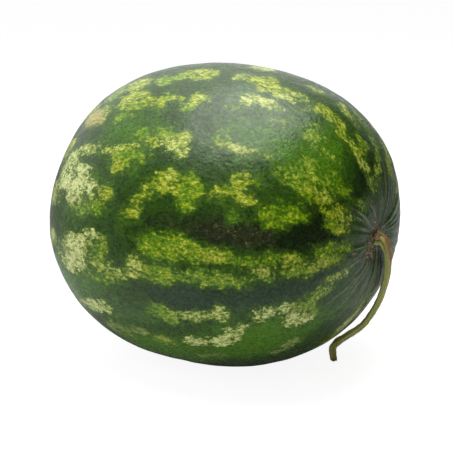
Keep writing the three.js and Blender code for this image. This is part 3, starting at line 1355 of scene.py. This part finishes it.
@dataclass
class Stalk:
    """The dry, five-ridged stalk, from its flared foot in the hollow to its torn tip.

    The radius at a distance from the foot is the slim radius, plus a flare that falls off as
    exp(-distance / flare length), plus a swelling; the ridges add a cosine of five times the
    angle round it.
    """

    radius: float = 2.6
    flare: float = 4.7
    flare_length: float = 8.0
    swelling: float = 0.35
    swelling_at: float = 121.0
    swelling_length: float = 12.0
    ridges: int = 5
    ridge_along: float = 0.07
    ridge_foot: float = 0.14
    rings: int = 420
    sides: int = 60
    rusty_side: Tuple[float, float, float] = (0.86, 0.5, 0.0)
    rust_end: Tuple[float, float] = (14.0, 42.0)
    seed: int = 71

    def route(self) -> List[Tuple[float, float, float]]:
        """The stalk's middle line, from a little under the skin to the tip."""
        return [
            (133, -0.5, 118),
            (137, -1, 118),
            (141, -2, 117.5),
            (143, -1, 113.5),
            (143, 4, 105),
            (141.5, 8, 88),
            (137, 10, 70.5),
            (131, 12, 56.5),
            (121, 10.5, 40),
            (111, 2.5, 31.5),
            (106.5, -5.5, 28),
            (106, -13, 25),
            (111, -21.5, 19),
        ]

    def surface(self) -> RingSurface:
        """The fine stalk with ridges, small knobs and a torn tip.

        Returns:
            The stalk as rings from foot to tip.
        """
        path, run = smooth_route(self.route(), self.rings)
        angle = np.linspace(0, 2 * np.pi, self.sides, endpoint=False)
        foot = np.exp(-run / self.flare_length)
        swelling = np.exp(-(((run - self.swelling_at) / self.swelling_length) ** 2))
        mean = self.radius + self.flare * foot + self.swelling * swelling
        share = self.ridge_along + (self.ridge_foot - self.ridge_along) * foot
        twist = run[:, None] / 160
        ridge = np.cos(self.ridges * (angle[None] + twist))
        sharp = np.sign(ridge) * np.abs(ridge) ** 0.8
        radius = mean[:, None] * (1 + share[:, None] * sharp)
        rings = rod_rings(path, radius, np.array([0.0, 1.0, 0.0]))
        knobs = 0.16 * SoftNoise(6, self.seed).at(rings) + 0.07 * SoftNoise(2, self.seed + 1).at(rings)
        radius = radius + knobs * (1 + 2 * foot[:, None])
        tear = 0.5 * SoftNoise(2.5, self.seed + 2).at(rings[-1]) + 0.5
        rings = rod_rings(path, radius, np.array([0.0, 1.0, 0.0]))
        ahead = unit(path[-1] - path[-2])
        near_tip = smooth_step(run[-1] - 5, run[-1], run)[:, None, None]
        rings = rings - ahead * tear[None, :, None] * near_tip
        side = unit(rings - path[:, None]) @ np.array(self.rusty_side)
        rust = smooth_step(-0.15, 0.35, side) * (1 - smooth_step(*self.rust_end, run))[:, None]
        along = np.repeat(run[:, None], self.sides, axis=1)
        round_and_along = np.stack(
            [np.cos(angle) + 0 * along, np.sin(angle) + 0 * along, along / 60], -1
        )
        ends = [[0, 0, 0], [0, 0, run[-1] / 60]]
        fields = {
            "along": np.append(along.ravel(), [0.0, run[-1]]),
            "ridge": np.append(ridge.ravel(), [0.0, -1.0]),
            "rust": np.append(rust.ravel(), [0.0, 0.0]),
            "grain": np.vstack([round_and_along.reshape(-1, 3), ends]),
        }
        hollow_end = path[-1] - ahead * 2.4
        return RingSurface(rings, path[0], hollow_end, run / run[-1], fields)

    def build(self, effects: Effects) -> None:
        """Makes the stalk and dresses it."""
        dress(self.surface().make("ridged_stalk"), StalkFinish().make(effects), "stalk")


@dataclass(frozen=True)
class StalkFinish:
    """Dry plant skin: olive green, brown by the foot and the tip, with fine fibres."""

    olive: Color = (0.420, 0.450, 0.120)
    dark: Color = (0.300, 0.310, 0.080)
    light: Color = (0.600, 0.620, 0.260)
    brown: Color = (0.290, 0.180, 0.070)
    rust: Color = (0.330, 0.150, 0.038)
    groove: Color = (0.050, 0.035, 0.012)
    length: float = 139.0
    brown_from: float = 95.0

    def make(self, effects: Effects) -> bpy.types.Material:
        """Builds the material.

        Args:
            effects: the shared node groups.

        Returns:
            The material.
        """
        material, graph, shader = start_material("dry_stalk")
        place = graph.place()
        fibres = graph.place_group(
            effects.fibres,
            Stretched=graph.stretch(graph.vector("grain"), (1.0, 1.0, 0.22)),
            Scale=7.0,
        )
        color = graph.mix(fibres.outputs["Streak"], self.dark, self.olive)
        crest = graph.step(graph.value("ridge"), 0.2, 1.0)
        color = graph.mix(graph.times(crest, 0.45), color, self.light)
        valley = graph.math("SUBTRACT", 1.0, graph.step(graph.value("ridge"), -1.0, -0.3))
        near_foot = graph.math("SUBTRACT", 1.0, graph.step(graph.value("along"), 6.0, 30.0))
        color = graph.mix(graph.times(valley, graph.times(near_foot, 0.8)), color, self.groove)
        patches = graph.noise(place, 160.0, 4.0, 0.6)
        rusty = graph.add(graph.value("rust"), graph.centred(patches, 0.9))
        color = graph.mix(graph.times(graph.step(rusty, 0.2, 0.7), 0.85), color, self.rust)
        near_tip = graph.step(graph.value("along"), self.brown_from, self.length)
        cut = graph.step(graph.value("along"), self.length - 3.0, self.length)
        color = graph.mix(graph.times(cut, 0.8), color, self.groove)
        film = graph.place_group(
            effects.film,
            Place=place,
            Color=color,
            Tint=self.brown,
            Amount=graph.add(0.15, graph.times(near_tip, 0.55)),
            Scale=110.0,
        )
        graph.feed(shader.inputs["Base Color"], film.outputs["Color"])
        graph.feed(shader.inputs["Roughness"], graph.add(0.5, graph.times(patches, 0.3)))
        graph.feed(shader.inputs["Normal"], graph.bump(fibres.outputs["Ridge"], 0.0006))
        return material


@dataclass(frozen=True)
class FootChip:
    """A dry scale left on the stalk's foot: a rounded, slightly bent plate.

    Each ring is an uneven oval; from the underside to the top the ovals grow and shrink again
    as the square root of the sine of their place.
    """

    middle: Tuple[float, float, float] = (138.7, -7.2, 121.4)
    facing: Tuple[float, float, float] = (0.55, -0.72, 0.42)
    half_size: Tuple[float, float, float] = (1.9, 2.6, 0.8)
    rings: int = 30
    sides: int = 48
    seed: int = 8

    def surface(self) -> RingSurface:
        """The plate as rings from its underside to its top.

        Returns:
            The rings.
        """
        out = unit(np.array(self.facing))
        across = unit(np.cross(np.array([0.0, 0.0, 1.0]), out))
        up = np.cross(out, across)
        share = np.linspace(0, 1, self.rings + 2)
        angle = np.linspace(0, 2 * np.pi, self.sides, endpoint=False)
        uneven = 1 + 0.14 * np.sin(2 * angle + 1) + 0.10 * np.sin(5 * angle) + 0.06 * np.sin(9 * angle)
        reach = np.sqrt(np.sin(np.pi * share))[:, None] * uneven[None]
        side = self.half_size[0] * reach * np.cos(angle)
        rise = self.half_size[1] * reach * np.sin(angle)
        bend = -0.09 * (side**2 + 0.5 * rise**2)
        lift = self.half_size[2] * -np.cos(np.pi * share)[:, None] + bend
        points = np.array(self.middle) + (
            side[..., None] * across + rise[..., None] * up + lift[..., None] * out
        )
        points = points + 0.18 * SoftNoise(2.2, self.seed).at(points)[..., None] * out
        points[0], points[-1] = points[0].mean(axis=0), points[-1].mean(axis=0)
        return RingSurface(points[1:-1], points[0, 0], points[-1, 0], share[1:-1])

    def build(self, effects: Effects) -> None:
        """Makes the chip and dresses it."""
        dress(self.surface().make("foot_chip"), DRY_CHIP.make(effects), None)


@dataclass(frozen=True)
class DryFinish:
    """Dry, brittle plant matter of two colours, finely streaked.

    Attributes:
        name: the material's name.
        dark: the colour between the streaks.
        light: the streaks' colour.
        streaks: the scale of the streaks, to a metre.
        roughness: the least and the added roughness.
        depth: how deep the streaks are, in metres.
    """

    name: str
    dark: Color
    light: Color
    streaks: float
    roughness: Tuple[float, float]
    depth: float

    def make(self, effects: Effects) -> bpy.types.Material:
        """Builds the material.

        Args:
            effects: the shared node groups.

        Returns:
            The material.
        """
        material, graph, shader = start_material(self.name)
        fibres = graph.place_group(effects.fibres, Stretched=graph.place(), Scale=self.streaks)
        color = graph.mix(fibres.outputs["Streak"], self.dark, self.light)
        least, more = self.roughness
        rough = graph.add(least, graph.times(fibres.outputs["Ridge"], more))
        graph.feed(shader.inputs["Base Color"], color)
        graph.feed(shader.inputs["Roughness"], rough)
        graph.feed(shader.inputs["Normal"], graph.bump(fibres.outputs["Ridge"], self.depth))
        return material


DRY_CHIP = DryFinish(
    "dry_chip", (0.200, 0.095, 0.040), (0.420, 0.230, 0.130), 420.0, (0.6, 0.3), 0.0004
)
DRY_FIBRE = DryFinish(
    "dry_fibre", (0.130, 0.105, 0.055), (0.330, 0.290, 0.190), 500.0, (0.8, 0.0), 0.0003
)


@dataclass
class Fibre:
    """A dry strand torn from the stalk, lying in the hollow beside its foot."""

    radius: float = 0.5
    rings: int = 60
    sides: int = 16
    seed: int = 15

    def surface(self) -> RingSurface:
        """The strand: a thin flattened rod that narrows to its end.

        Returns:
            The strand as rings from foot to end.
        """
        route = [(137, 4, 124.5), (137.5, 8, 126.5), (138.5, 12, 128.5)]
        path, run = smooth_route(route, self.rings)
        angle = np.linspace(0, 2 * np.pi, self.sides, endpoint=False)
        narrow = 1 - 0.65 * (run / run[-1]) ** 2
        radius = self.radius * narrow[:, None] * (1 + 0.25 * np.cos(2 * angle)[None])
        rings = rod_rings(path, radius, np.array([1.0, 0.0, 0.0]))
        rings = rings + 0.12 * SoftNoise(3, self.seed).at(rings)[..., None]
        return RingSurface(rings, path[0], path[-1], run / run[-1])

    def build(self, effects: Effects) -> None:
        """Makes the strand and dresses it."""
        dress(self.surface().make("dry_fibre"), DRY_FIBRE.make(effects), "stalk_fibre")


# ---------------------------------------------------------------- floor, light and camera


@dataclass
class Studio:
    """A plain pale floor, soft light from above, a bright wall to one side and the camera.

    The room is dark on the camera's side, so the front of the fruit keeps its deep greens,
    and the floor and the room read white wherever they are seen directly.
    """

    floor_size: float = 14.0
    table_edge: float = 0.25
    table_white: float = 0.5
    table_cloud: float = 0.02
    dark_floor: float = 0.02
    floor_glow: float = 0.9
    floor_gap: float = 0.0003
    bounce_white: float = 0.85
    shadow_share: float = 0.25
    wall_toward: Tuple[float, float, float] = (-0.91, 0.42, 0.0)
    wall_strength: float = 1.0
    room_strength: float = 0.022
    box_radiance: float = 4.5
    box_size: Tuple[float, float] = (0.78, 1.05)
    box_place: Tuple[float, float, float] = (-0.05, 0.09, 1.05)
    fill_radiance: float = 1.6
    fill_size: float = 1.6
    fill_place: Tuple[float, float, float] = (0.1, -1.5, 0.9)
    lens: float = 100.0
    azimuth: float = 30.2
    elevation: float = 15.7
    distance: float = 1.043
    rise_in_view: float = 0.0296

    def floor(self) -> bpy.types.Object:
        """A large flat sheet just under the fruit.

        It is white where it is seen directly from above and clear from below. In reflections
        it is a pale table that ends a little in front of the fruit, with a dark floor beyond.

        Returns:
            The sheet, which is staging and no piece of the fruit.
        """
        half = self.floor_size / 2
        corners = [(-half, -half), (half, -half), (half, half), (-half, half)]
        mesh = bpy.data.meshes.new("floor")
        mesh.from_pydata([(x, y, -self.floor_gap) for x, y in corners], [], [(0, 1, 2, 3)])
        floor = bpy.data.objects.new("floor", mesh)
        bpy.context.collection.objects.link(floor)
        material, graph, shader = start_material("pale_floor")
        turn = math.radians(self.azimuth)
        forward = graph.node("ShaderNodeVectorMath", operation="DOT_PRODUCT")
        graph.feed(forward.inputs[0], graph.place())
        forward.inputs[1].default_value = (-math.sin(turn), math.cos(turn), 0.0)
        table = graph.step(forward.outputs["Value"], -self.table_edge - 0.1, -self.table_edge)
        path = graph.node("ShaderNodeLightPath")
        seen = path.outputs["Is Camera Ray"]
        direct = graph.math("MAXIMUM", seen, path.outputs["Is Diffuse Ray"])
        white = graph.math("MAXIMUM", direct, table)
        cloud = graph.noise(graph.place(), 3.0)
        pale = graph.mix(cloud, (self.table_white,) * 3, (self.table_white + self.table_cloud,) * 3)
        pale = graph.mix(path.outputs["Is Diffuse Ray"], pale, (self.bounce_white,) * 3)
        pale = graph.mix(seen, pale, (self.shadow_share,) * 3)
        graph.feed(shader.inputs["Base Color"], graph.mix(white, (self.dark_floor,) * 3, pale))
        shader.inputs["Roughness"].default_value = 0.9
        shader.inputs["Specular IOR Level"].default_value = 0.1
        shader.inputs["Emission Color"].default_value = (1.0, 1.0, 1.0, 1.0)
        graph.feed(shader.inputs["Emission Strength"], graph.times(seen, self.floor_glow))
        below = graph.node("ShaderNodeNewGeometry").outputs["Backfacing"]
        graph.feed(shader.inputs["Alpha"], graph.math("SUBTRACT", 1.0, below))
        mesh.materials.append(material)
        return floor

    def room(self) -> None:
        """Dark surroundings with one bright wall, plain white where they are seen directly."""
        world = bpy.data.worlds.new("room")
        world.use_nodes = True
        graph = Graph(world.node_tree)
        toward = graph.node("ShaderNodeVectorMath", operation="DOT_PRODUCT")
        graph.feed(toward.inputs[0], graph.node("ShaderNodeTexCoord").outputs["Generated"])
        toward.inputs[1].default_value = Vector(self.wall_toward).normalized()
        wall = graph.times(graph.step(toward.outputs["Value"], 0.2, 0.75), self.wall_strength)
        light = graph.add(wall, self.room_strength)
        seen = graph.node("ShaderNodeLightPath").outputs["Is Camera Ray"]
        background = world.node_tree.nodes["Background"]
        background.inputs["Color"].default_value = (1.0, 1.0, 1.0, 1.0)
        graph.feed(background.inputs["Strength"], graph.math("MAXIMUM", light, seen))
        bpy.context.scene.world = world

    def lights(self) -> None:
        """A soft box overhead and a weaker fill from the front, which isn't reflected."""
        wide, deep = self.box_size
        box = self.area_light("soft_box", wide, deep, self.box_radiance)
        box.location = self.box_place
        fill = self.area_light("fill", self.fill_size, self.fill_size, self.fill_radiance)
        fill.location = self.fill_place
        fill.visible_glossy = False
        aim = Vector((0.0, 0.0, 0.12)) - Vector(self.fill_place)
        fill.rotation_mode = "QUATERNION"
        fill.rotation_quaternion = aim.to_track_quat("-Z", "Y")

    @staticmethod
    def area_light(name: str, wide: float, deep: float, radiance: float) -> bpy.types.Object:
        """A rectangular light that shines downwards, as bright as given over its whole face.

        Args:
            name: the light's name.
            wide: its size along X, in metres.
            deep: its size along Y, in metres.
            radiance: how bright its face is.

        Returns:
            The light's object, at the origin.
        """
        light = bpy.data.lights.new(name, "AREA")
        light.shape = "RECTANGLE"
        light.size, light.size_y = wide, deep
        light.energy = radiance * wide * deep * math.pi
        lamp = bpy.data.objects.new(name, light)
        bpy.context.collection.objects.link(lamp)
        return lamp

    def camera(self, middle: Vector) -> bpy.types.Object:
        """The camera, looking at the fruit's middle from its front and right.

        Args:
            middle: what the camera looks at, in metres.

        Returns:
            The camera's object.
        """
        turn, rise = math.radians(self.azimuth), math.radians(self.elevation)
        back = Vector(
            (math.sin(turn) * math.cos(rise), -math.cos(turn) * math.cos(rise), math.sin(rise))
        )
        data = bpy.data.cameras.new("camera")
        data.lens = self.lens
        data.sensor_width = 36.0
        data.shift_y = -self.rise_in_view
        camera = bpy.data.objects.new("camera", data)
        camera.location = middle + back * self.distance
        camera.rotation_mode = "QUATERNION"
        camera.rotation_quaternion = (-back).to_track_quat("-Z", "Y")
        bpy.context.collection.objects.link(camera)
        bpy.context.scene.camera = camera
        return camera


# ---------------------------------------------------------------- putting it together


def dress(
    piece: bpy.types.Object, material: bpy.types.Material, node: Optional[str]
) -> None:
    """Dresses a piece, lets it ride on the body and hides the node of the frame that it replaces.

    Args:
        piece: the piece.
        material: its finish.
        node: the node of the frame that it replaces, if any.
    """
    piece.data.materials.append(material)
    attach(piece, "root")
    if node:
        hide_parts(node)
    log.info("%s: %d vertices", piece.name, len(piece.data.vertices))


def main() -> None:
    """Builds the fruit, the stalk and its fibre, and the studio."""
    logging.basicConfig(level=logging.INFO, format="%(name)s: %(message)s")
    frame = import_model()
    log.info("frame: %s", type(frame).__name__)
    bpy.context.scene.view_settings.view_transform = "Standard"
    studio = Studio()
    effects = Effects()
    rind = Rind()
    studio.camera(Vector((0.0, 0.0, rind.centre_height * MM)))
    for part in (rind, Stalk(), FootChip(), Fibre()):
        part.build(effects)
    studio.floor()
    studio.room()
    studio.lights()


if __name__ == "__main__":
    main()
